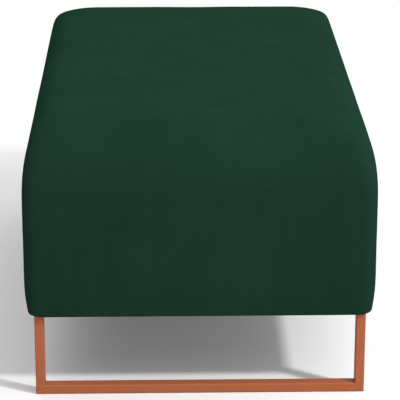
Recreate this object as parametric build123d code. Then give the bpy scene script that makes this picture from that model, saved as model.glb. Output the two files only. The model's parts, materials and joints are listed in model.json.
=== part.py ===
from build123d import *
import math
import os

# A rectangular upholstered pouf on two sled legs of rectangular steel tube.
# Millimetres, +Z up, X across the width, Y along the length.
# The origin is on the floor under the middle of the block, and the front end faces -Y.

# Upholstered block, over its widest points
LENGTH = 900.0
WIDTH = 550.0
HEIGHT = 440.0  # floor to the top of the crown
GROUND_GAP = 135.0  # floor to the underside of the block

# Soft shape of the block
WALL_TAPER = 4.0  # how far the walls draw in towards the hem
TAPER_POWER = 7.0  # the higher, the closer to the hem the walls draw in
HEM_RADIUS = 3.0  # roll of the bottom edge
CORNER_RADIUS = 23.0  # upright corners, in plan
CORNER_SPREAD = 0.7  # growth of the corner radius for each millimetre rolled in
CROWN = 2.0  # rise of the seat above its rolled edge

# Rolls of the walls into the top: a superellipse power of 2 is an ellipse, more is squarer
SIDE_DROP = 145.0  # height over which a long side rolls in
SIDE_REACH = 70.0  # how far it rolls in from the wall
SIDE_POWER = 3.3
END_DROP = 100.0  # the same for the fuller roll of the ends
END_REACH = 105.0
END_POWER = 1.9

# Slices of the lofts
HEM_STEPS = 2
WALL_STEPS = 3
SHOULDER_STEPS = 10

# Fabric and foam
FABRIC = 1.5  # suede with its backing
FABRIC_EASE = 0.3  # between the fabric and the foam
HEM_TURN = 40.0  # fabric turned under the base
SEAT_FOAM = 80.0  # thickness at the crown
FOAM_FOOT = 2.0  # flat foot of the border foam inside the rolled hem
DUST_COVER = 0.6  # non-woven cloth under the base
DUST_COVER_EASE = 2.0  # between the dust cover's edge and the leg posts

# Timber carcass
RAIL_WIDE = 70.0  # base rails lie flat
RAIL_THICK = 22.0
POST = 40.0  # square corner posts
TOP_RAIL_THICK = 20.0  # top rails, stiles and brace stand on edge
TOP_RAIL_DEEP = 50.0
STILE_WIDE = 45.0
PANEL = 3.0  # hardboard
SEAT_BOARD = 15.0  # plywood
SEAT_BOARD_CORNER = 6.0

# Sled legs
TUBE_WIDE = 15.0  # rectangular tube, outside: width of a post and height of a bar
TUBE_DEEP = 20.0  # along the length of the pouf
TUBE_WALL = 1.2
TUBE_CORNER = 2.0
LEG_SIDE_INSET = 7.2  # from the edge of the flat underside to the post, across
LEG_END_INSET = 6.6  # the same along the length
PLATE = 60.0  # square corner plate, notched round its post
PLATE_THICK = 3.0
PLATE_CORNER = 5.0
PLATE_INSET = 4.0  # from the outer faces of the post to the plate's edges

# Plate screws
SCREW = 4.2  # shank diameter
SCREW_BITE = 16.0  # depth in the base rail
SCREW_HEAD = 8.4
SCREW_HEAD_HIGH = 2.8
SCREW_EDGE = 10.0  # from the plate's edges to a screw
SCREW_EASE = 0.1  # round the shank in timber and cloth
PLATE_HOLE_EASE = 0.4  # round the shank in the plate

# Half sizes and levels that several pieces share
UNDERSIDE_X = WIDTH / 2 - WALL_TAPER - HEM_RADIUS
UNDERSIDE_Y = LENGTH / 2 - WALL_TAPER - HEM_RADIUS
CARCASS_X = UNDERSIDE_X - FABRIC - FABRIC_EASE - FOAM_FOOT
CARCASS_Y = UNDERSIDE_Y - FABRIC - FABRIC_EASE - FOAM_FOOT
LEG_X = UNDERSIDE_X - LEG_SIDE_INSET
LEG_Y = UNDERSIDE_Y - LEG_END_INSET
POST_X = LEG_X - TUBE_WIDE / 2
POST_Y = LEG_Y - TUBE_DEEP / 2
PLATE_X = LEG_X - PLATE_INSET - PLATE / 2
PLATE_Y = LEG_Y - PLATE_INSET - PLATE / 2
PLATE_TOP = GROUND_GAP - DUST_COVER
PLATE_LOW = PLATE_TOP - PLATE_THICK
BASE_LOW = GROUND_GAP + FABRIC
BASE_TOP = BASE_LOW + RAIL_THICK
SEAT_Z = HEIGHT - FABRIC - FABRIC_EASE - SEAT_FOAM
BOARD_LOW = SEAT_Z - SEAT_BOARD
TOP_RAIL_LOW = BOARD_LOW - TOP_RAIL_DEEP

SIDES = {"left": -1, "right": 1}  # along X
ENDS = {"front": -1, "rear": 1}  # along Y


def slab(x, y, z):
    """A box between two limits on each axis, given in either order."""
    middle = [(a + b) / 2 for a, b in (x, y, z)]
    size = [abs(b - a) for a, b in (x, y, z)]
    return Pos(*middle) * Box(*size)


def rolled_in(climb, reach, power):
    """How far a wall has rolled in at a share of its roll's height, level with the seat at 1."""
    return reach * (1 - (1 - max(climb, 0) ** power) ** (1 / power))


def sections(inset):
    """Side inset, end inset, height and corner radius of each slice, from the hem up to the seat's rim."""
    low = GROUND_GAP + inset
    edge = HEIGHT - CROWN - inset
    shoulder = edge - max(SIDE_DROP, END_DROP)
    corner = CORNER_RADIUS - inset
    found = []
    for step in range(HEM_STEPS):
        turn = math.radians(90 * step / HEM_STEPS)
        drawn_in = WALL_TAPER + HEM_RADIUS * (1 - math.sin(turn))
        found.append((drawn_in, drawn_in, low + HEM_RADIUS * (1 - math.cos(turn)), corner))
    wall = shoulder - low - HEM_RADIUS
    for step in range(WALL_STEPS):
        climb = (step / WALL_STEPS) ** 2
        drawn_in = WALL_TAPER * (1 - climb) ** TAPER_POWER
        found.append((drawn_in, drawn_in, low + HEM_RADIUS + wall * climb, corner))
    for step in range(SHOULDER_STEPS + 1):
        rise = math.sin(math.radians(90 * step / SHOULDER_STEPS)) ** (2 / SIDE_POWER)
        below = (edge - shoulder) * (1 - rise)
        side_in = rolled_in(1 - below / SIDE_DROP, SIDE_REACH, SIDE_POWER)
        end_in = rolled_in(1 - below / END_DROP, END_REACH, END_POWER)
        found.append((side_in, end_in, edge - below, corner + CORNER_SPREAD * min(side_in, end_in)))
    return [(inset + side_in, inset + end_in, z, radius) for side_in, end_in, z, radius in found]


def block(inset):
    """The upholstered block with its domed seat, taken in by inset all round."""
    slices = [
        Pos(0, 0, z) * RectangleRounded(WIDTH - 2 * side_in, LENGTH - 2 * end_in, radius)
        for side_in, end_in, z, radius in sections(inset)
    ]
    *walls, rim = loft(slices, ruled=True).faces().sort_by(Axis.Z)
    crown = Face.make_surface(rim.edges(), surface_points=[(0, 0, HEIGHT - inset)])
    return Solid(Shell([*walls, crown]))


def tube(length):
    """A length of tube up from the origin."""
    wall = 2 * TUBE_WALL
    outside = RectangleRounded(TUBE_WIDE, TUBE_DEEP, TUBE_CORNER)
    return extrude(outside - Rectangle(TUBE_WIDE - wall, TUBE_DEEP - wall), length)


def mitre(side):
    """The plane of a lower corner's mitre. Its normal points up and out, to the post."""
    return Plane(origin=(side * LEG_X, 0, 0), z_dir=(side, 0, 1))


def leg_post(side, end):
    post = Pos(side * POST_X, end * POST_Y, 0) * tube(GROUND_GAP)
    return split(post, mitre(side), Keep.TOP)


def leg_floor_bar(end):
    bar = Pos(-LEG_X, end * POST_Y, TUBE_WIDE / 2) * Rot(0, 90, 0) * tube(2 * LEG_X)
    for side in SIDES.values():
        bar = split(bar, mitre(side), Keep.BOTTOM)
    return bar


def screw_spots(side, end):
    """Centres of one plate's screws: its three corners away from the post."""
    reach = PLATE / 2 - SCREW_EDGE
    corners = ((-1, -1), (-1, 1), (1, -1))
    return [(side * (PLATE_X + u * reach), end * (PLATE_Y + v * reach)) for u, v in corners]


def drilled(spots, ease):
    """Round holes for the shanks, right through the plate and as deep as the screws go."""
    height = PLATE_THICK + DUST_COVER + FABRIC + SCREW_BITE
    return [Pos(x, y, PLATE_LOW + height / 2) * Cylinder(SCREW / 2 + ease, height) for x, y in spots]


def leg_plate(side, end):
    outline = Pos(side * PLATE_X, end * PLATE_Y) * RectangleRounded(PLATE, PLATE, PLATE_CORNER)
    outline -= Pos(side * POST_X, end * POST_Y) * Rectangle(TUBE_WIDE, TUBE_DEEP)
    plate = Pos(0, 0, PLATE_LOW) * extrude(outline, PLATE_THICK)
    return plate - drilled(screw_spots(side, end), PLATE_HOLE_EASE)


def screw():
    """A plate screw that points up, with the head's seat at the origin."""
    shank = PLATE_THICK + DUST_COVER + FABRIC + SCREW_BITE
    head = Pos(0, 0, -SCREW_HEAD_HIGH / 2) * Cylinder(SCREW_HEAD / 2, SCREW_HEAD_HIGH)
    return head + Pos(0, 0, shank / 2) * Cylinder(SCREW / 2, shank)


parts = {}

# Two sled legs
for end_name, end in ENDS.items():
    parts[f"{end_name}_leg_floor_bar"] = leg_floor_bar(end)
    screws = []
    for side_name, side in SIDES.items():
        parts[f"{end_name}_leg_{side_name}_post"] = leg_post(side, end)
        parts[f"{end_name}_leg_{side_name}_plate"] = leg_plate(side, end)
        screws += [Pos(x, y, PLATE_LOW) * screw() for x, y in screw_spots(side, end)]
    parts[f"{end_name}_leg_screws"] = Compound(screws)

all_spots = [spot for side in SIDES.values() for end in ENDS.values() for spot in screw_spots(side, end)]
screw_holes = drilled(all_spots, SCREW_EASE)

# Base of flat rails, rounded at the corners where the fabric is pulled round them
base_outline = Pos(0, 0, BASE_LOW) * extrude(
    RectangleRounded(2 * CARCASS_X, 2 * CARCASS_Y, CORNER_RADIUS), RAIL_THICK
)
inner_x = CARCASS_X - RAIL_WIDE
for name, side in SIDES.items():
    rail = slab((side * inner_x, side * CARCASS_X), (-CARCASS_Y, CARCASS_Y), (BASE_LOW, BASE_TOP))
    parts[f"base_rail_{name}"] = (base_outline & rail) - screw_holes
for name, end in ENDS.items():
    parts[f"base_rail_{name}"] = slab(
        (-inner_x, inner_x), (end * (CARCASS_Y - RAIL_WIDE), end * CARCASS_Y), (BASE_LOW, BASE_TOP)
    )
parts["base_cross_rail"] = slab((-inner_x, inner_x), (-RAIL_WIDE / 2, RAIL_WIDE / 2), (BASE_LOW, BASE_TOP))

# Upright frame behind the panels
frame_x = CARCASS_X - PANEL
frame_y = CARCASS_Y - PANEL
top_rail_z = (TOP_RAIL_LOW, BOARD_LOW)
for end_name, end in ENDS.items():
    post_y = (end * (frame_y - POST), end * frame_y)
    for side_name, side in SIDES.items():
        post_x = (side * (frame_x - POST), side * frame_x)
        parts[f"corner_post_{end_name}_{side_name}"] = slab(post_x, post_y, (BASE_TOP, BOARD_LOW))
for name, side in SIDES.items():
    rail_x = (side * (frame_x - TOP_RAIL_THICK), side * frame_x)
    parts[f"top_rail_{name}"] = slab(rail_x, (POST - frame_y, frame_y - POST), top_rail_z)
    parts[f"side_stile_{name}"] = slab(rail_x, (-STILE_WIDE / 2, STILE_WIDE / 2), (BASE_TOP, TOP_RAIL_LOW))
for name, end in ENDS.items():
    parts[f"top_rail_{name}"] = slab(
        (POST - frame_x, frame_x - POST), (end * (frame_y - TOP_RAIL_THICK), end * frame_y), top_rail_z
    )
brace_x = frame_x - TOP_RAIL_THICK
parts["seat_brace"] = slab((-brace_x, brace_x), (-TOP_RAIL_THICK / 2, TOP_RAIL_THICK / 2), top_rail_z)

# Panels and seat board
panel_z = (BASE_TOP, BOARD_LOW)
for name, side in SIDES.items():
    parts[f"side_panel_{name}"] = slab((side * frame_x, side * CARCASS_X), (-CARCASS_Y, CARCASS_Y), panel_z)
for name, end in ENDS.items():
    parts[f"end_panel_{name}"] = slab((-frame_x, frame_x), (end * frame_y, end * CARCASS_Y), panel_z)
parts["seat_board"] = Pos(0, 0, BOARD_LOW) * extrude(
    RectangleRounded(2 * CARCASS_X, 2 * CARCASS_Y, SEAT_BOARD_CORNER), SEAT_BOARD
)

# Foam: a crowned seat slab over thin border sheets
foam = block(FABRIC + FABRIC_EASE)
parts["seat_foam"] = foam & slab((-WIDTH, WIDTH), (-LENGTH, LENGTH), (SEAT_Z, HEIGHT))
for name, side in SIDES.items():
    parts[f"border_foam_{name}"] = foam & slab(
        (side * CARCASS_X, side * WIDTH), (-LENGTH, LENGTH), (0, SEAT_Z)
    )
for name, end in ENDS.items():
    parts[f"border_foam_{name}"] = foam & slab(
        (-CARCASS_X, CARCASS_X), (end * CARCASS_Y, end * LENGTH), (0, SEAT_Z)
    )

# Fitted cover, turned under the base, and the dust cover that closes the underside
hem_opening = Pos(0, 0, GROUND_GAP) * extrude(
    RectangleRounded(2 * (UNDERSIDE_X - HEM_TURN), 2 * (UNDERSIDE_Y - HEM_TURN), CORNER_RADIUS), FABRIC
)
parts["cover"] = block(0) - block(FABRIC) - hem_opening - screw_holes
dust_x = LEG_X - TUBE_WIDE - DUST_COVER_EASE
dust_y = LEG_Y - TUBE_DEEP - DUST_COVER_EASE
dust_cover = Pos(0, 0, PLATE_TOP) * extrude(Rectangle(2 * dust_x, 2 * dust_y), DUST_COVER)
parts["dust_cover"] = dust_cover - screw_holes

os.makedirs("parts", exist_ok=True)
for name, shape in parts.items():
    export_step(shape, f"parts/{name}.step")
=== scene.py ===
import json
import math
import random

import bmesh
import bpy
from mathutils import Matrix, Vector, noise


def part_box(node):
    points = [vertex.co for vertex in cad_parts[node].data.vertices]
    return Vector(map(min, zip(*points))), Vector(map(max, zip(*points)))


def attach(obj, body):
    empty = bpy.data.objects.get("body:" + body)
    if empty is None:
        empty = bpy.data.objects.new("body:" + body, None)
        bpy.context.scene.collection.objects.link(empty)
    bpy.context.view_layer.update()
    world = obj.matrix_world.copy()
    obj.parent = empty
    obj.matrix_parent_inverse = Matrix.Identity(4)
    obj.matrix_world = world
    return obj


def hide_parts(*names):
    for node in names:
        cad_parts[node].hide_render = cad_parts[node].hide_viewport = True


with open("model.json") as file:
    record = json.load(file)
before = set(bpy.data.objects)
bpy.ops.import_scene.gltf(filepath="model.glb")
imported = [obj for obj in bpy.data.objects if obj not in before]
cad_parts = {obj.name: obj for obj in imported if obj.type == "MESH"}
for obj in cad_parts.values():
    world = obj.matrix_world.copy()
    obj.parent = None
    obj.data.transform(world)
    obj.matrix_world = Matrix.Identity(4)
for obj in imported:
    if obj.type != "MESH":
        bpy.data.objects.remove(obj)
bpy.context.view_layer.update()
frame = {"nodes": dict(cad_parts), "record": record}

# A rectangular pouf in dark green suede on two sled legs of copper-painted tube.
# Metres, +Z up, and the front end faces -Y.

# Sizes that the solids give
cover_low, cover_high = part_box("cover")
WIDTH = cover_high.x - cover_low.x
LENGTH = cover_high.y - cover_low.y
TOP = cover_high.z
UNDERSIDE = cover_low.z
SEAT_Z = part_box("seat_foam")[0].z
CARCASS_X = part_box("seat_board")[1].x
CARCASS_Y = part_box("seat_board")[1].y
dust_low, dust_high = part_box("dust_cover")
plate_low, plate_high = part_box("rear_leg_right_plate")
post_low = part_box("rear_leg_right_post")[0]

# Soft shape of the block, as in the solids
WALL_TAPER = 0.004  # how far the walls draw in at the hem
TAPER_POWER = 7.0
HEM_RADIUS = 0.003
CORNER_RADIUS = 0.023  # of the upright corners
CORNER_SPREAD = 0.7  # share of the roll that this radius grows by
CROWN = 0.002  # rise of the seat's middle
SIDE_DROP, SIDE_REACH, SIDE_POWER = 0.145, 0.070, 3.3  # roll of the long sides
END_DROP, END_REACH, END_POWER = 0.100, 0.105, 1.9  # roll of the ends
FABRIC = 0.0015
FOAM_INSET = 0.0018  # fabric and its ease over the foam
HEM_TURN = 0.040  # fabric turned under the base

# Mesh of the block
OUTLINE_STEPS = 80  # points on each stretch of its section, before the rings are spaced out
RING_STEP = 0.012
HEM_STEP = 0.0015
HEM_TURN_RINGS = 3
ACROSS = 40  # faces along a short side
ALONG = 62  # faces along a long side
CORNER = 5  # of them in each half corner

# Swelling of the fabric over the foam
SWELL_PRESSURE = 4.0
SWELL_FRAMES = 20
SWELL_CAP = 0.0012
HELD_HEIGHT = 0.022  # fabric held by its staples, above the underside
UNEVEN = 0.0004  # slow waves of the fabric
UNEVEN_SCALE = 9.0  # of their noise

# Dust cover and its staples
SHEET_STEP = 0.010
SAG = 0.003
FOLD = 0.012  # width of the folded edge
FOLD_END = 1.1 * FOLD  # where the cloth is single again
FOLD_DEPTH = 0.0005
PUCKER = 0.0007  # the edge between two staples
PUCKER_REACH = 0.018
CREASE = PUCKER / 3
CREASE_SCALES = (14.0, 9.0)  # of their noise, across and along
CREASE_SEED = 3.0
STAPLE_PITCH = 0.040
STAPLE_INSET = 0.006
STAPLE_CROWN = 0.010
STAPLE_BEND = 0.0005  # slope at each end of the crown
STAPLE_WIRE = 0.0012
STAPLE_THICK = 0.0006
STAPLE_SKEW = 9.0  # degrees
STAPLE_STRAY = 0.001
STAPLE_SEED = 7

# Screws and welds of the legs
HEAD_RADIUS = 0.0042
HEAD_HIGH = 0.0028
HEAD_POWER = 4  # a pan head: flat in the middle and round at its rim
HEAD_TICKS = (0.12, 0.17, 0.34, 0.44, 0.50, 0.66, 0.80, 0.92, 1.0)  # vertices along its radius
RECESS_DEPTH = 0.0015
RECESS_WIDE = 0.15  # half the width of the cross, as a share of the head's radius
RECESS_LONG = 0.47  # half its length
SHANK_RADIUS = 0.0021
SCREW_EDGE = 0.010  # from a plate's edges to a screw
BEAD_RADIUS = 0.0022
BEAD_RIPPLE = 0.0026  # length of one ripple
BEAD_WAVE = 0.06  # half the depth of a ripple, as a share of the radius
BEAD_BEND = 0.002
BEAD_STEPS = 6  # sections in each ripple, in the bend and in each tapered end
BEAD_SIDES = 10

# Camera of the photograph
IMAGE = 400  # pixels
FOCAL_PIXELS = 1931.6
SENSOR = 36.0  # millimetres
CAMERA_PLACE = (-0.0557, -3.2388, 1.3022)
CAMERA_PITCH = 19.217  # degrees
CAMERA_YAW = 1.129

# Studio
SKY_LEFT = 1.04
SKY_RIGHT = 0.96
SKY_FRONT = 1.06
SKY_BACK = 0.94
SKY_DIM = 0.05  # share of that light which is left at the left horizon
SKY_DIM_REACH = (-0.9, -0.3)
KEY_FROM = (1.05, -0.81, 1.0)
KEY_AIM = (0.0, 0.0, 0.2)
KEY_AWAY = 4.0
KEY_SIZE = 0.39
KEY_POWER = 30.0
SHADOW_POWER = 70.0  # of a second key that only the floor and the leg tubes receive
FLOOR_HALF = 30.0
FLOOR_GAP = 0.0003  # keeps the floor clear of the legs' lower faces
FLOOR_SEEN = 0.97  # colour that the camera sees
FLOOR_BOUNCE = 0.38  # colour that lights the object from below
FLOOR_GLOW_DEPTHS = (-0.50, -0.15)  # depths between which the floor takes a share of plain white, a painted glow that lightens the floor's shadow
FLOOR_PAINTED_GLOW = 0.085  # that share of painted glow
FLOOR_FADE = (0.5, 1.3)  # depths between which it turns to plain white

GRAIN = 0.08  # scale of timber's noise along the grain
SIDES = {"left": -1, "right": 1}  # along X
ENDS = {"front": -1, "rear": 1}  # along Y


def smooth(low, high, value):
    """A soft step from 0 at low to 1 at high."""
    share = min(max((value - low) / (high - low), 0.0), 1.0)
    return share * share * (3 - 2 * share)


def new_piece(name, mesh_maker, shaded_smooth=True):
    """An object with the mesh that mesh_maker fills."""
    grid = bmesh.new()
    mesh_maker(grid)
    bmesh.ops.recalc_face_normals(grid, faces=grid.faces)
    mesh = bpy.data.meshes.new(name)
    grid.to_mesh(mesh)
    grid.free()
    if shaded_smooth:
        mesh.shade_smooth()
    piece = bpy.data.objects.new(name, mesh)
    bpy.context.scene.collection.objects.link(piece)
    return piece


def settle(piece, material):
    """Gives a finished piece its body and material."""
    piece.data.materials.append(material)
    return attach(piece, "root")


def thicken(piece, thickness):
    """Gives an open surface its thickness, on the inside."""
    wall = piece.modifiers.new("thickness", "SOLIDIFY")
    wall.thickness = thickness
    wall.offset = -1.0
    wall.use_even_offset = True


def subdivide(piece):
    division = piece.modifiers.new("subdivision", "SUBSURF")
    division.levels = 1
    division.render_levels = 1


# Faces between rows and loops of vertices


def add_sheet(grid, rows):
    """Faces between neighbouring rows."""
    for near, far in zip(rows, rows[1:]):
        for i in range(len(near) - 1):
            grid.faces.new((near[i], near[i + 1], far[i + 1], far[i]))


def add_band(grid, loops):
    """Faces between neighbouring closed loops."""
    for near, far in zip(loops, loops[1:]):
        for i in range(len(near)):
            after = (i + 1) % len(near)
            grid.faces.new((near[i], near[after], far[after], far[i]))


def add_bar(grid, sections):
    """A band of loops, closed at both ends."""
    add_band(grid, sections)
    grid.faces.new(sections[0])
    grid.faces.new(sections[-1])


def rim(rows):
    """The closed loop round the edge of a sheet."""
    right = [row[-1] for row in rows]
    left = [row[0] for row in rows]
    return rows[0] + right[1:] + rows[-1][-2::-1] + left[-2:0:-1]


def add_slab(grid, near, far):
    """Two sheets and the band between their rims."""
    add_sheet(grid, near)
    add_sheet(grid, far)
    add_band(grid, [rim(near), rim(far)])


# Shape of the upholstered block


def rolled_in(climb, reach, power):
    """How far a wall has rolled in at a share of its roll's height, level with the seat at 1."""
    return reach * (1 - max(1 - max(climb, 0.0) ** power, 0.0) ** (1 / power))


def outline(inset):
    """Points of the block's upright section from the hem up.

    Each is the side's inset, the end's inset, the height and the corner radius.
    """
    low = UNDERSIDE + inset
    edge = TOP - CROWN - inset
    shoulder = edge - max(SIDE_DROP, END_DROP)
    corner = CORNER_RADIUS - inset
    found = []
    for step in range(OUTLINE_STEPS):
        turn = math.pi / 2 * step / OUTLINE_STEPS
        drawn_in = WALL_TAPER + HEM_RADIUS * (1 - math.sin(turn))
        found.append((drawn_in, drawn_in, low + HEM_RADIUS * (1 - math.cos(turn)), corner))
    wall = shoulder - low - HEM_RADIUS
    for step in range(OUTLINE_STEPS):
        climb = step / OUTLINE_STEPS
        drawn_in = WALL_TAPER * (1 - climb) ** TAPER_POWER
        found.append((drawn_in, drawn_in, low + HEM_RADIUS + wall * climb, corner))
    for step in range(OUTLINE_STEPS + 1):
        turn = math.pi / 2 * step / OUTLINE_STEPS
        below = (edge - shoulder) * (1 - math.sin(turn) ** (2 / SIDE_POWER))
        side_in = rolled_in(1 - below / SIDE_DROP, SIDE_REACH, SIDE_POWER)
        end_in = rolled_in(1 - below / END_DROP, END_REACH, END_POWER)
        found.append((side_in, end_in, edge - below, corner + CORNER_SPREAD * min(side_in, end_in)))
    return [Vector((inset + point[0], inset + point[1], *point[2:])) for point in found]


def resampled(points, spacing):
    """The same line with points about one spacing apart along the end of the block."""
    lengths = [0.0]
    for before, after in zip(points, points[1:]):
        move = after - before
        lengths.append(lengths[-1] + math.hypot(move[1], move[2]))
    count = max(2, round(lengths[-1] / spacing))
    found = []
    place = 0
    for step in range(count + 1):
        along = lengths[-1] * step / count
        while place < len(points) - 2 and lengths[place + 1] < along:
            place += 1
        share = (along - lengths[place]) / max(lengths[place + 1] - lengths[place], 1e-9)
        found.append(points[place].lerp(points[place + 1], min(share, 1.0)))
    return found


def ring(side_in, end_in, radius):
    """A rounded rectangle, from the middle of its front left corner and along the front first."""
    half_x, half_y = WIDTH / 2 - side_in, LENGTH / 2 - end_in
    sides = (
        (half_x, half_y, Vector((1, 0)), Vector((0, -1)), ACROSS),
        (half_y, half_x, Vector((0, 1)), Vector((1, 0)), ALONG),
        (half_x, half_y, Vector((-1, 0)), Vector((0, 1)), ACROSS),
        (half_y, half_x, Vector((0, -1)), Vector((-1, 0)), ALONG),
    )
    found = []
    for half, out, along, outward, count in sides:
        straight = half - radius
        bend = radius * math.pi / 4
        flat = count - 2 * CORNER
        stops = [-straight - bend * (CORNER - step) / CORNER for step in range(CORNER)]
        stops += [straight * (2 * step / flat - 1) for step in range(flat + 1)]
        stops += [straight + bend * step / CORNER for step in range(1, CORNER)]
        for place in stops:
            turn = max(abs(place) - straight, 0.0) / radius
            across = min(abs(place), straight) + radius * math.sin(turn)
            away = out - radius + radius * math.cos(turn)
            found.append(along * math.copysign(across, place) + outward * away)
    return found


def cap(grid, loop, lift):
    """Closes a ring of vertices with a grid of faces, each point raised by lift(x, y)."""
    front = loop[:ACROSS + 1]
    right = loop[ACROSS:ACROSS + ALONG + 1]
    back = loop[ACROSS + ALONG:2 * ACROSS + ALONG + 1][::-1]
    left = [loop[-step % len(loop)] for step in range(ALONG + 1)]
    rows = [front]
    for j in range(1, ALONG):
        v = j / ALONG
        row = [left[j]]
        for i in range(1, ACROSS):
            u = i / ACROSS
            place = front[i].co * (1 - v) + back[i].co * v + left[j].co * (1 - u) + right[j].co * u
            place -= (front[0].co * (1 - u) + front[-1].co * u) * (1 - v)
            place -= (back[0].co * (1 - u) + back[-1].co * u) * v
            place.z += lift(place.x, place.y)
            row.append(grid.verts.new(place))
        rows.append(row + [right[j]])
    rows.append(back)
    add_sheet(grid, rows)


def ring_heights(inset):
    """Rings of the block from the hem up, close together round the hem."""
    points = outline(inset)
    split = next(i for i, point in enumerate(points) if point.z > UNDERSIDE + 2 * HEM_RADIUS)
    return resampled(points[:split + 1], HEM_STEP)[:-1] + resampled(points[split:], RING_STEP)


def cut_rings(inset, height):
    """The block's rings below and above a height, each with the ring at that height."""
    rings = ring_heights(inset)
    split = next(i for i, point in enumerate(rings) if point.z > height)
    low, high = rings[split - 1], rings[split]
    cut = low.lerp(high, (height - low.z) / (high.z - low.z))
    return rings[:split] + [cut], [cut] + rings[split:]


def fill_rings(grid, rings):
    """Walls through the rings and the crown over the last. Returns the lowest ring's vertices."""
    loops = []
    for side_in, end_in, height, radius in rings:
        loops.append([grid.verts.new((x, y, height)) for x, y in ring(side_in, end_in, radius)])
    add_band(grid, loops)
    rim_x, rim_y = WIDTH / 2 - rings[-1].x, LENGTH / 2 - rings[-1].y
    cap(grid, loops[-1], lambda x, y: CROWN * (1 - (x / rim_x) ** 2) * (1 - (y / rim_y) ** 2))
    return loops[0]


def fill_skin(grid):
    """The fabric's outer face, from the edge that is turned under the base."""
    rings = ring_heights(0.0)
    turned = []
    for step in range(HEM_TURN_RINGS):
        under = HEM_TURN * (1 - step / HEM_TURN_RINGS)
        turned.append(rings[0] + Vector((under, under, 0.0, 0.0)))
    fill_rings(grid, turned + rings)


def fill_seat(grid):
    """The top of the block as one closed form, under the fabric and down to the seat board."""
    above = cut_rings(FOAM_INSET, SEAT_Z)[1]
    cap(grid, fill_rings(grid, above), lambda x, y: 0.0)


def fill_border(grid, facing, placed, carcass):
    """A sheet of foam between the carcass and the fabric.

    facing turns a ring's point to (along, outward), and placed turns those and a height to a place.
    """
    below = cut_rings(FOAM_INSET, SEAT_Z)[0]
    outer, inner = [], []
    for side_in, end_in, height, radius in below:
        edge = [facing(point) for point in ring(side_in, end_in, radius)]
        edge = sorted(point for point in edge if point[1] > carcass)
        outer.append([(along, outward, height) for along, outward in edge])
        inner.append([(along, carcass, height) for along, outward in edge])
    count = min(len(row) for row in outer)
    sheets = []
    for rows in (outer, inner):
        sheet = []
        for row in rows:
            spare = (len(row) - count) // 2
            sheet.append([grid.verts.new(placed(*point)) for point in row[spare:spare + count]])
        sheets.append(sheet)
    add_slab(grid, *sheets)


def swell(piece):
    """Lets the fabric swell like a tight cushion, and keeps each point near where it began."""
    begun = [vertex.co.copy() for vertex in piece.data.vertices]
    held = piece.vertex_groups.new(name="held")
    held.add([i for i, place in enumerate(begun) if place.z < UNDERSIDE + HELD_HEIGHT], 1.0, "REPLACE")
    cloth = piece.modifiers.new("cloth", "CLOTH")
    cloth.settings.vertex_group_mass = held.name
    cloth.settings.use_pressure = True
    cloth.settings.uniform_pressure_force = SWELL_PRESSURE
    cloth.settings.effector_weights.gravity = 0
    cloth.point_cache.frame_start = 1
    cloth.point_cache.frame_end = SWELL_FRAMES
    for step in range(1, SWELL_FRAMES + 1):
        bpy.context.scene.frame_set(step)
    evaluated = piece.evaluated_get(bpy.context.evaluated_depsgraph_get())
    swollen = [vertex.co.copy() for vertex in evaluated.data.vertices]
    piece.modifiers.remove(cloth)
    piece.vertex_groups.clear()
    bpy.context.scene.frame_set(1)
    outward = [vertex.normal.copy() for vertex in piece.data.vertices]
    for vertex, before, after, normal in zip(piece.data.vertices, begun, swollen, outward):
        rise = (after - before).dot(normal)
        vertex.co = before + normal * min(max(rise, 0.0), SWELL_CAP)


# Materials


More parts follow.
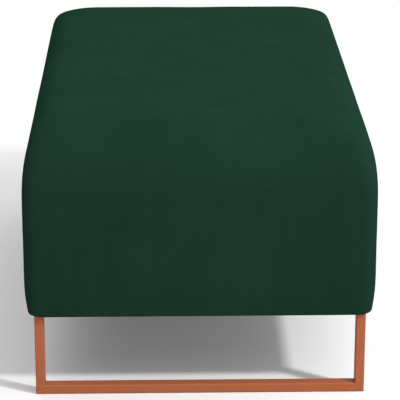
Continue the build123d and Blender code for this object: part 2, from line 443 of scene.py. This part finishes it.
class Surface:
    """A node material around one principled shader, in the object's own coordinates."""

    def __init__(self, name, constants):
        self.material = bpy.data.materials.new(name)
        self.material.use_nodes = True
        self.tree = self.material.node_tree
        self.shader = self.tree.nodes["Principled BSDF"]
        for socket, value in constants.items():
            self.shader.inputs[socket].default_value = value
        self.place = self.add("ShaderNodeTexCoord").outputs["Object"]

    def add(self, kind, sockets=None, **settings):
        """A new node, with its sockets linked or set and its other settings made."""
        node = self.tree.nodes.new(kind)
        for key, value in settings.items():
            setattr(node, key, value)
        for key, value in (sockets or {}).items():
            if isinstance(value, bpy.types.NodeSocket):
                self.tree.links.new(value, node.inputs[key])
            else:
                node.inputs[key].default_value = value
        return node

    def stretched(self, scale):
        return self.add("ShaderNodeMapping", {"Vector": self.place, "Scale": scale}).outputs["Vector"]

    def noise(self, scale, detail=3.0, stretch=None, roughness=0.55):
        place = self.stretched(stretch) if stretch else self.place
        sockets = {"Vector": place, "Scale": scale, "Detail": detail, "Roughness": roughness}
        return self.add("ShaderNodeTexNoise", sockets).outputs["Fac"]

    def cells(self, scale, output="Distance"):
        sockets = {"Vector": self.place, "Scale": scale}
        return self.add("ShaderNodeTexVoronoi", sockets).outputs[output]

    def blend(self, first, second, share):
        """Two factors added: a share of the first and the rest of the second."""
        parts = {}
        for key, (factor, weight) in enumerate(((first, share), (second, 1 - share))):
            sockets = {0: factor, 1: weight}
            parts[key] = self.add("ShaderNodeMath", sockets, operation="MULTIPLY").outputs[0]
        return self.add("ShaderNodeMath", parts, operation="ADD").outputs[0]

    def ramp(self, factor, stops):
        """Colours between pairs of position and colour."""
        node = self.add("ShaderNodeValToRGB", {"Fac": factor})
        elements = node.color_ramp.elements
        while len(elements) < len(stops):
            elements.new(0.5)
        for element, (position, colour) in zip(elements, stops):
            element.position = position
            element.color = (*colour, 1.0)
        return node.outputs["Color"]

    def levels(self, factor, low, high):
        """A factor of 0 to 1 stretched between two numbers."""
        sockets = {"Value": factor, "To Min": low, "To Max": high}
        return self.add("ShaderNodeMapRange", sockets).outputs["Result"]

    def tinted(self, colour, shade):
        """A colour made lighter or darker by a number around 1."""
        scale = self.add("ShaderNodeVectorMath", {0: colour, "Scale": shade}, operation="SCALE")
        return scale.outputs["Vector"]

    def colour(self, socket):
        self.tree.links.new(socket, self.shader.inputs["Base Color"])

    def rough(self, factor, low, high):
        self.tree.links.new(self.levels(factor, low, high), self.shader.inputs["Roughness"])

    def bump(self, *heights):
        """Relief from pairs of height factor and depth in metres."""
        normal = None
        for factor, depth in heights:
            sockets = {"Height": factor, "Distance": depth, "Strength": 1.0}
            if normal:
                sockets["Normal"] = normal
            normal = self.add("ShaderNodeBump", sockets).outputs["Normal"]
        self.tree.links.new(normal, self.shader.inputs["Normal"])


def suede():
    """Short-napped dark green suede: slow clouds, upright brush strokes and a fine nap."""
    bloom = {"Sheen Weight": 0.015, "Sheen Roughness": 0.5, "Sheen Tint": (0.05, 1.0, 0.35, 1.0)}
    surface = Surface("suede", {"Specular IOR Level": 0.0, **bloom})
    clouds = surface.noise(7.0)
    strokes = surface.noise(34.0, detail=2.0, stretch=(1.0, 1.0, 0.16))
    nap = surface.noise(900.0, detail=2.0, stretch=(1.0, 1.0, 0.45), roughness=0.7)
    dark = (0.0134, 0.0414, 0.0276)
    middle = (0.0149, 0.0464, 0.0306)
    light = (0.0164, 0.0512, 0.0336)
    tone = surface.blend(clouds, strokes, 0.6)
    shades = surface.ramp(tone, ((0.30, dark), (0.50, middle), (0.70, light)))
    surface.colour(surface.tinted(shades, surface.levels(nap, 0.84, 1.16)))
    surface.rough(clouds, 0.86, 0.97)
    surface.bump((surface.noise(55.0), 0.0004), (nap, 0.0002))
    return surface.material


def copper_paint():
    """Satin copper-coloured paint with fine flakes and a slight orange peel."""
    surface = Surface("copper_paint", {"Metallic": 0.1, "Specular IOR Level": 0.15})
    flakes = surface.cells(2600.0, "Color")
    drift = surface.noise(24.0, detail=4.0)
    shades = surface.ramp(drift, ((0.3, (0.415, 0.122, 0.050)), (0.7, (0.447, 0.134, 0.057))))
    surface.colour(surface.tinted(shades, surface.levels(flakes, 0.93, 1.07)))
    surface.rough(surface.noise(70.0, detail=4.0), 0.38, 0.52)
    peel = surface.noise(420.0, detail=2.0)
    waves = surface.noise(30.0, detail=2.0)
    surface.bump((peel, 0.00006), (waves, 0.0001))
    return surface.material


def timber(axis):
    """Planed softwood with its grain along one axis."""
    surface = Surface(f"pine_{axis}", {"Specular IOR Level": 0.3})
    stretch = [GRAIN if name == axis else 1.0 for name in "xyz"]
    rings = surface.noise(26.0, detail=6.0, stretch=stretch)
    fibres = surface.noise(260.0, stretch=stretch)
    bands = surface.blend(rings, fibres, 0.75)
    shades = ((0.32, (0.40, 0.235, 0.10)), (0.5, (0.62, 0.44, 0.24)), (0.72, (0.72, 0.55, 0.33)))
    surface.colour(surface.ramp(bands, shades))
    surface.rough(fibres, 0.55, 0.75)
    surface.bump((fibres, 0.0003))
    return surface.material


def plywood():
    """Birch-faced plywood, with figure on its faces and plies on its edges."""
    surface = Surface("plywood", {"Specular IOR Level": 0.3})
    figure = surface.noise(18.0, detail=6.0, stretch=(1.0, 0.12, 7.0))
    plies = surface.noise(60.0, detail=1.0, stretch=(0.02, 0.02, 5.0))
    bands = surface.blend(figure, plies, 0.6)
    shades = ((0.3, (0.36, 0.23, 0.12)), (0.5, (0.55, 0.40, 0.24)), (0.7, (0.66, 0.51, 0.33)))
    surface.colour(surface.ramp(bands, shades))
    surface.rough(figure, 0.5, 0.7)
    surface.bump((surface.noise(220.0, stretch=(1.0, 0.1, 1.0)), 0.0003))
    return surface.material


def hardboard():
    """Smooth brown board of pressed fibres."""
    surface = Surface("hardboard", {"Specular IOR Level": 0.3})
    fibres = surface.noise(170.0, detail=6.0)
    flecks = surface.cells(420.0)
    shades = ((0.3, (0.15, 0.078, 0.036)), (0.55, (0.22, 0.12, 0.06)), (0.75, (0.29, 0.17, 0.09)))
    surface.colour(surface.tinted(surface.ramp(fibres, shades), surface.levels(flecks, 0.85, 1.1)))
    surface.rough(fibres, 0.5, 0.72)
    surface.bump((fibres, 0.0002))
    return surface.material


def foam():
    """Pale open-cell foam."""
    surface = Surface("foam", {"Specular IOR Level": 0.1})
    pores = surface.cells(620.0)
    drift = surface.noise(9.0)
    shades = ((0.3, (0.74, 0.67, 0.47)), (0.7, (0.84, 0.78, 0.60)))
    surface.colour(surface.tinted(surface.ramp(drift, shades), surface.levels(pores, 0.78, 1.08)))
    surface.rough(pores, 0.88, 1.0)
    surface.bump((pores, 0.0006))
    return surface.material


def dust_cloth():
    """Black non-woven cloth with dimples where its fibres are bonded."""
    surface = Surface("dust_cloth", {"Specular IOR Level": 0.2})
    bonds = surface.cells(520.0)
    fibres = surface.noise(1300.0, detail=4.0)
    drift = surface.noise(14.0, detail=4.0)
    shades = ((0.3, (0.009, 0.009, 0.010)), (0.7, (0.017, 0.017, 0.018)))
    surface.colour(surface.tinted(surface.ramp(drift, shades), surface.levels(fibres, 0.6, 1.5)))
    surface.rough(bonds, 0.7, 0.95)
    surface.bump((bonds, 0.0003), (fibres, 0.0001))
    return surface.material


def zinc_steel():
    """Bright zinc plate with a faint spangle."""
    surface = Surface("zinc_steel", {"Metallic": 1.0})
    spangle = surface.cells(900.0, "Color")
    drift = surface.noise(160.0, detail=4.0)
    shades = ((0.3, (0.50, 0.50, 0.48)), (0.7, (0.68, 0.68, 0.66)))
    surface.colour(surface.tinted(surface.ramp(drift, shades), surface.levels(spangle, 0.9, 1.1)))
    surface.rough(drift, 0.25, 0.5)
    surface.bump((drift, 0.00005))
    return surface.material


# Pieces


def make_cover(material):
    """The suede cover, a thin shell that swells a little over the foam and is held at the hem."""
    cover = new_piece("cover_suede", fill_skin)
    swell(cover)
    for vertex in cover.data.vertices:
        free = smooth(UNDERSIDE + HEM_RADIUS, UNDERSIDE + HELD_HEIGHT, vertex.co.z)
        vertex.co += vertex.normal * UNEVEN * free * noise.noise(vertex.co * UNEVEN_SCALE)
    thicken(cover, FABRIC)
    subdivide(cover)
    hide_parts("cover")
    return settle(cover, material)


def make_seat_foam(material):
    """The crowned slab of foam on the seat board."""
    seat = new_piece("seat_foam_pad", fill_seat)
    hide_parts("seat_foam")
    return settle(seat, material)


def make_border_foam(name, sign, material):
    """One thin sheet of foam, on a side or an end of the carcass."""
    on_side = name in SIDES

    def facing(point):
        return (point.y, sign * point.x) if on_side else (point.x, sign * point.y)

    def placed(along, outward, height):
        return (sign * outward, along, height) if on_side else (along, sign * outward, height)

    def fill(grid):
        fill_border(grid, facing, placed, CARCASS_X if on_side else CARCASS_Y)

    sheet = new_piece(f"border_foam_{name}_sheet", fill)
    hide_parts(f"border_foam_{name}")
    return settle(sheet, material)


def off_plates(x, y):
    """1 where the dust cover hangs free and 0 where a corner plate holds it."""
    near_x = smooth(plate_low.x - FOLD, plate_low.x, abs(x))
    near_y = smooth(plate_low.y - FOLD, plate_low.y, abs(y))
    return 1 - near_x * near_y


def sheet_stops(half):
    """Places across the dust cover, close together on its folded edges."""
    border = [half, half - FOLD / 3, half - 2 * FOLD / 3, half - FOLD]
    inner = half - FOLD_END
    count = round(2 * inner / SHEET_STEP)
    middle = [inner * (2 * step / count - 1) for step in range(count + 1)]
    return [-place for place in border] + middle + border[::-1]


def hang(x, y):
    """How far the dust cover hangs: a shallow sag, puckers between the staples and slight creases."""
    half_x, half_y = dust_high.x, dust_high.y
    sag = SAG * ((1 - (x / half_x) ** 2) * (1 - (y / half_y) ** 2)) ** 2
    by_side = math.exp((abs(x) - half_x) / PUCKER_REACH) * math.sin(math.pi * y / STAPLE_PITCH) ** 2
    by_end = math.exp((abs(y) - half_y) / PUCKER_REACH) * math.sin(math.pi * x / STAPLE_PITCH) ** 2
    wave = noise.noise(Vector((CREASE_SCALES[0] * x, CREASE_SCALES[1] * y, CREASE_SEED)))
    return sag + (PUCKER * max(by_side, by_end) + CREASE * (0.5 + wave)) * off_plates(x, y)


def fill_dust_cover(grid):
    """Both faces of the cloth, the lower one further down where its edge is folded."""
    fold_line = (FOLD + FOLD_END) / 2
    layers = []
    for level, fold in ((dust_low.z, FOLD_DEPTH), (dust_high.z, 0.0)):
        rows = []
        for y in sheet_stops(dust_high.y):
            row = []
            for x in sheet_stops(dust_high.x):
                folded = abs(x) > dust_high.x - fold_line or abs(y) > dust_high.y - fold_line
                drop = hang(x, y) + fold * folded * off_plates(x, y)
                row.append(grid.verts.new((x, y, level - drop)))
            rows.append(row)
        layers.append(rows)
    add_slab(grid, *layers)


def make_dust_cover(material):
    """The cloth that closes the underside, stretched between the legs."""
    sheet = new_piece("dust_cover_cloth", fill_dust_cover)
    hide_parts("dust_cover")
    return settle(sheet, material)


def staple_spots():
    """Places and directions of the staples round the dust cover, clear of the corner plates."""
    spots = []
    for half, clear, out, on_side in (
        (dust_high.y, plate_low.y, dust_high.x, True),
        (dust_high.x, plate_low.x, dust_high.y, False),
    ):
        count = int((min(half, clear) - FOLD) / STAPLE_PITCH)
        for step in range(-count, count + 1):
            for sign in (-1, 1):
                along, across = step * STAPLE_PITCH, sign * (out - STAPLE_INSET)
                spots.append((across, along, math.pi / 2) if on_side else (along, across, 0.0))
    return spots


def fill_staples(grid):
    """Flat crowns that bend up into the base at both ends, each a little out of line."""
    chance = random.Random(STAPLE_SEED)
    half = STAPLE_CROWN / 2
    flat = half - STAPLE_BEND
    bends = ((-half, STAPLE_WIRE), (-flat, 0.0), (flat, 0.0), (half, STAPLE_WIRE))
    for x, y, turn in staple_spots():
        turn += math.radians(chance.uniform(-STAPLE_SKEW, STAPLE_SKEW))
        along = Vector((math.cos(turn), math.sin(turn), 0.0))
        across = Vector((-along.y, along.x, 0.0)) * STAPLE_WIRE / 2
        x += chance.uniform(-STAPLE_STRAY, STAPLE_STRAY)
        y += chance.uniform(-STAPLE_STRAY, STAPLE_STRAY)
        foot = Vector((x, y, dust_low.z - FOLD_DEPTH - hang(x, y)))
        sections = []
        for place, lift in bends:
            middle = foot + along * place + Vector((0.0, 0.0, lift))
            below = middle - Vector((0.0, 0.0, STAPLE_THICK))
            corners = (middle + across, middle - across, below - across, below + across)
            sections.append([grid.verts.new(corner) for corner in corners])
        add_bar(grid, sections)


def make_staples(material):
    """The staples along the dust cover's folded edge."""
    staples = new_piece("dust_cover_staples", fill_staples, shaded_smooth=False)
    return settle(staples, material)


def on_disc(u, v):
    """A place in the square between -1 and 1, moved to the disc that fits in it."""
    return u * math.sqrt(1 - v * v / 2), v * math.sqrt(1 - u * u / 2)


def head_depth(u, v):
    """How far a screw head's face lies under its seat: the pan's dome less the cross recess."""
    out = math.hypot(*on_disc(u, v))
    dome = HEAD_HIGH * math.sqrt(max(1 - out ** HEAD_POWER, 0.0))
    narrow, wide = sorted((abs(u), abs(v)))
    in_cross = narrow < RECESS_WIDE and wide < RECESS_LONG
    return dome - RECESS_DEPTH * (1 - wide) * in_cross


def fill_screw(grid, x, y, tip, turn):
    """A pan-head screw, its head under the plate and its shank up to the tip."""
    stops = [-tick for tick in reversed(HEAD_TICKS)] + [0.0] + list(HEAD_TICKS)
    spots = [[(u, v) for u in stops] for v in stops]
    aside = Vector((math.cos(turn), math.sin(turn)))
    seat = plate_low.z

    def vertex(u, v, radius, height):
        round_u, round_v = on_disc(u, v)
        spot = Vector((aside.x * round_u - aside.y * round_v, aside.y * round_u + aside.x * round_v))
        return grid.verts.new((x + radius * spot.x, y + radius * spot.y, height))

    rows = [[vertex(u, v, HEAD_RADIUS, seat - head_depth(u, v)) for u, v in row] for row in spots]
    add_sheet(grid, rows)
    loops = [rim(rows)]
    for height in (seat, tip - SHANK_RADIUS):
        loops.append([vertex(u, v, SHANK_RADIUS, height) for u, v in rim(spots)])
    add_band(grid, loops)
    last = loops[-1]
    point = grid.verts.new((x, y, tip))
    for i in range(len(last)):
        grid.faces.new((last[i], last[i - 1], point))


def make_screws(end_name, end, material):
    """Pan-head screws in the three corners of each plate that are away from its post."""
    chance = random.Random(end_name)
    node = f"{end_name}_leg_screws"
    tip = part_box(node)[1].z

    def fill(grid):
        for side_name, side in SIDES.items():
            low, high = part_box(f"{end_name}_leg_{side_name}_plate")
            middle, reach = (low + high) / 2, (high.x - low.x) / 2 - SCREW_EDGE
            for u, v in ((-1, -1), (-1, 1), (1, -1)):
                x, y = middle.x + side * u * reach, middle.y + end * v * reach
                fill_screw(grid, x, y, tip, chance.uniform(0, math.pi / 2))

    screws = new_piece(f"{end_name}_leg_pan_screws", fill)
    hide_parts(node)
    return settle(screws, material)


def bead_path():
    """The weld's line along the two inner faces of the rear right post, under its plate."""
    step = BEAD_RIPPLE / BEAD_STEPS
    x, y, bend = post_low.x, post_low.y, BEAD_BEND
    found = []
    for i in range(round((plate_high.y - y - bend) / step)):
        found.append(Vector((x, plate_high.y - i * step)))
    for i in range(BEAD_STEPS + 1):
        turn = math.pi + math.pi / 2 * i / BEAD_STEPS
        found.append(Vector((x + bend + bend * math.cos(turn), y + bend + bend * math.sin(turn))))
    for i in range(1, round((plate_high.x - x - bend) / step)):
        found.append(Vector((x + bend + i * step, y)))
    return found


def fill_bead(grid, side, end):
    """A rippled bead along its path, mirrored to one post and tapered at both ends."""
    path = bead_path()
    last = len(path) - 1
    sections = []
    for i, place in enumerate(path):
        along = (path[min(i + 1, last)] - path[max(i - 1, 0)]).normalized()
        ripple = 1 - BEAD_WAVE + BEAD_WAVE * math.sin(2 * math.pi * i / BEAD_STEPS)
        taper = math.sqrt(smooth(-1, BEAD_STEPS, min(i, last - i)))
        radius = BEAD_RADIUS * ripple * taper
        section = []
        for step in range(BEAD_SIDES):
            turn = 2 * math.pi * step / BEAD_SIDES
            aside = radius * math.cos(turn)
            x, y = place.x - along.y * aside, place.y + along.x * aside
            height = plate_low.z + radius * math.sin(turn)
            section.append(grid.verts.new((side * x, end * y, height)))
        sections.append(section)
    add_bar(grid, sections)


def make_welds(end_name, end, material):
    """The weld beads between one leg's posts and plates."""
    def fill(grid):
        for side in SIDES.values():
            fill_bead(grid, side, end)

    welds = new_piece(f"{end_name}_leg_welds", fill)
    return settle(welds, material)


def paint_nodes(materials):
    """Node materials for the solids that stay as they are."""
    for part in frame["record"]["subparts"]:
        node = part["node"]
        slot = part["material_slot"]
        if slot == "pine":
            low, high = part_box(node)
            size = list(high - low)
            slot = "pine_" + "xyz"[size.index(max(size))]
        mesh = frame["nodes"][node].data
        mesh.materials.clear()
        mesh.materials.append(materials[slot])


# Stage


def combined(tree, operation, first, second):
    node = tree.nodes.new("ShaderNodeMath")
    node.operation = operation
    tree.links.new(first, node.inputs[0])
    tree.links.new(second, node.inputs[1])
    return node.outputs[0]


def shown_rays(tree):
    """A factor of 1 for rays from the camera, also by reflection or through glass, and else 0."""
    path = tree.nodes.new("ShaderNodeLightPath")
    factor = path.outputs["Is Camera Ray"]
    for name in ("Is Glossy Ray", "Is Transmission Ray"):
        factor = combined(tree, "MAXIMUM", factor, path.outputs[name])
    return factor


def mixed(tree, factor, first, second):
    mix = tree.nodes.new("ShaderNodeMixShader")
    tree.links.new(factor, mix.inputs["Fac"])
    tree.links.new(first.outputs[0], mix.inputs[1])
    tree.links.new(second.outputs[0], mix.inputs[2])
    return mix


def ranged(tree, value, source, target, curve="SMOOTHSTEP"):
    """A value taken from one range to another, and held at its ends."""
    scale = tree.nodes.new("ShaderNodeMapRange")
    scale.interpolation_type = curve
    tree.links.new(value, scale.inputs["Value"])
    scale.inputs["From Min"].default_value, scale.inputs["From Max"].default_value = source
    scale.inputs["To Min"].default_value, scale.inputs["To Max"].default_value = target
    return scale.outputs["Result"]


def grey(tree, level):
    """A matt shader of one grey."""
    shader = tree.nodes.new("ShaderNodeBsdfDiffuse")
    shader.inputs["Color"].default_value = (level, level, level, 1.0)
    return shader


def make_floor():
    """A pale floor that takes the shadow, lightened by a painted glow from under the object's front
    backwards, and turns to plain white behind the object.
    """
    def fill(grid):
        half = FLOOR_HALF
        corners = ((-half, -half), (half, -half), (half, half), (-half, half))
        grid.faces.new([grid.verts.new((x, y, -FLOOR_GAP)) for x, y in corners])

    floor = new_piece("floor", fill, shaded_smooth=False)
    surface = bpy.data.materials.new("floor")
    surface.use_nodes = True
    tree = surface.node_tree
    tree.nodes.clear()
    white = tree.nodes.new("ShaderNodeEmission")
    place = tree.nodes.new("ShaderNodeSeparateXYZ")
    tree.links.new(tree.nodes.new("ShaderNodeNewGeometry").outputs["Position"], place.inputs[0])
    # painted light: a share of plain white glow, none in front of the object and full from under its
    # front backwards, that lightens the shadow there
    near = ranged(tree, place.outputs["Y"], FLOOR_GLOW_DEPTHS, (0.0, FLOOR_PAINTED_GLOW))
    far = ranged(tree, place.outputs["Y"], FLOOR_FADE, (0.0, 1.0))
    seen = mixed(tree, combined(tree, "MAXIMUM", near, far), grey(tree, FLOOR_SEEN), white)
    both = mixed(tree, shown_rays(tree), grey(tree, FLOOR_BOUNCE), seen)
    output = tree.nodes.new("ShaderNodeOutputMaterial")
    tree.links.new(both.outputs[0], output.inputs["Surface"])
    floor.data.materials.append(surface)
    return floor


def make_world():
    """White light from all round, dim at the left horizon, and a plain white backdrop."""
    world = bpy.data.worlds.new("studio")
    bpy.context.scene.world = world
    world.use_nodes = True
    tree = world.node_tree
    direction = tree.nodes.new("ShaderNodeSeparateXYZ")
    tree.links.new(tree.nodes.new("ShaderNodeTexCoord").outputs["Generated"], direction.inputs[0])
    across, along = direction.outputs["X"], direction.outputs["Y"]
    whole = (-1.0, 1.0)
    strength = ranged(tree, across, whole, (SKY_LEFT, SKY_RIGHT), "LINEAR")
    for share in (
        ranged(tree, across, SKY_DIM_REACH, (SKY_DIM, 1.0)),
        ranged(tree, along, whole, (SKY_FRONT, SKY_BACK), "LINEAR"),
    ):
        strength = combined(tree, "MULTIPLY", strength, share)
    light = tree.nodes["Background"]
    tree.links.new(strength, light.inputs["Strength"])
    seen = tree.nodes.new("ShaderNodeBackground")
    for background in (light, seen):
        background.inputs["Color"].default_value = (1.0, 1.0, 1.0, 1.0)
    both = mixed(tree, shown_rays(tree), light, seen)
    tree.links.new(both.outputs[0], tree.nodes["World Output"].inputs["Surface"])


def make_key_light(name, power, receivers=None):
    """A round lamp from the front right, for everything or for its receivers alone."""
    lamp = bpy.data.lights.new(name, "AREA")
    lamp.shape = "DISK"
    lamp.size = KEY_SIZE
    lamp.energy = power
    key = bpy.data.objects.new(name, lamp)
    direction = Vector(KEY_FROM).normalized()
    key.location = Vector(KEY_AIM) + direction * KEY_AWAY
    key.rotation_mode = "QUATERNION"
    key.rotation_quaternion = (-direction).to_track_quat("-Z", "Y")
    bpy.context.scene.collection.objects.link(key)
    if receivers:
        lit = bpy.data.collections.new(name)
        for piece in receivers:
            lit.objects.link(piece)
        key.light_linking.receiver_collection = lit


def leg_tubes():
    """The solids of both legs' posts and floor bars."""
    tubes = ("left_post", "right_post", "floor_bar")
    return [frame["nodes"][f"{end_name}_leg_{tube}"] for end_name in ENDS for tube in tubes]


def make_camera():
    """The photograph's camera."""
    lens = bpy.data.cameras.new("camera")
    lens.sensor_width = SENSOR
    lens.lens = FOCAL_PIXELS / IMAGE * SENSOR
    camera = bpy.data.objects.new("camera", lens)
    camera.location = CAMERA_PLACE
    camera.rotation_euler = (math.radians(90 - CAMERA_PITCH), 0.0, -math.radians(CAMERA_YAW))
    bpy.context.scene.collection.objects.link(camera)
    bpy.context.scene.camera = camera


materials = {
    "suede": suede(),
    "copper_paint": copper_paint(),
    "zinc_steel": zinc_steel(),
    "non_woven_cloth": dust_cloth(),
    "foam": foam(),
    "plywood": plywood(),
    "hardboard": hardboard(),
    **{f"pine_{axis}": timber(axis) for axis in "xyz"},
}
paint_nodes(materials)
cover = make_cover(materials["suede"])
make_seat_foam(materials["foam"])
for name, sign in (*SIDES.items(), *ENDS.items()):
    make_border_foam(name, sign, materials["foam"])
make_dust_cover(materials["non_woven_cloth"])
make_staples(materials["zinc_steel"])
for end_name, end in ENDS.items():
    make_screws(end_name, end, materials["zinc_steel"])
    make_welds(end_name, end, materials["copper_paint"])
floor = make_floor()
make_world()
make_key_light("key", KEY_POWER)
make_key_light("floor_key", SHADOW_POWER, [floor, *leg_tubes()])
make_camera()
bpy.context.scene.view_settings.view_transform = "Standard"
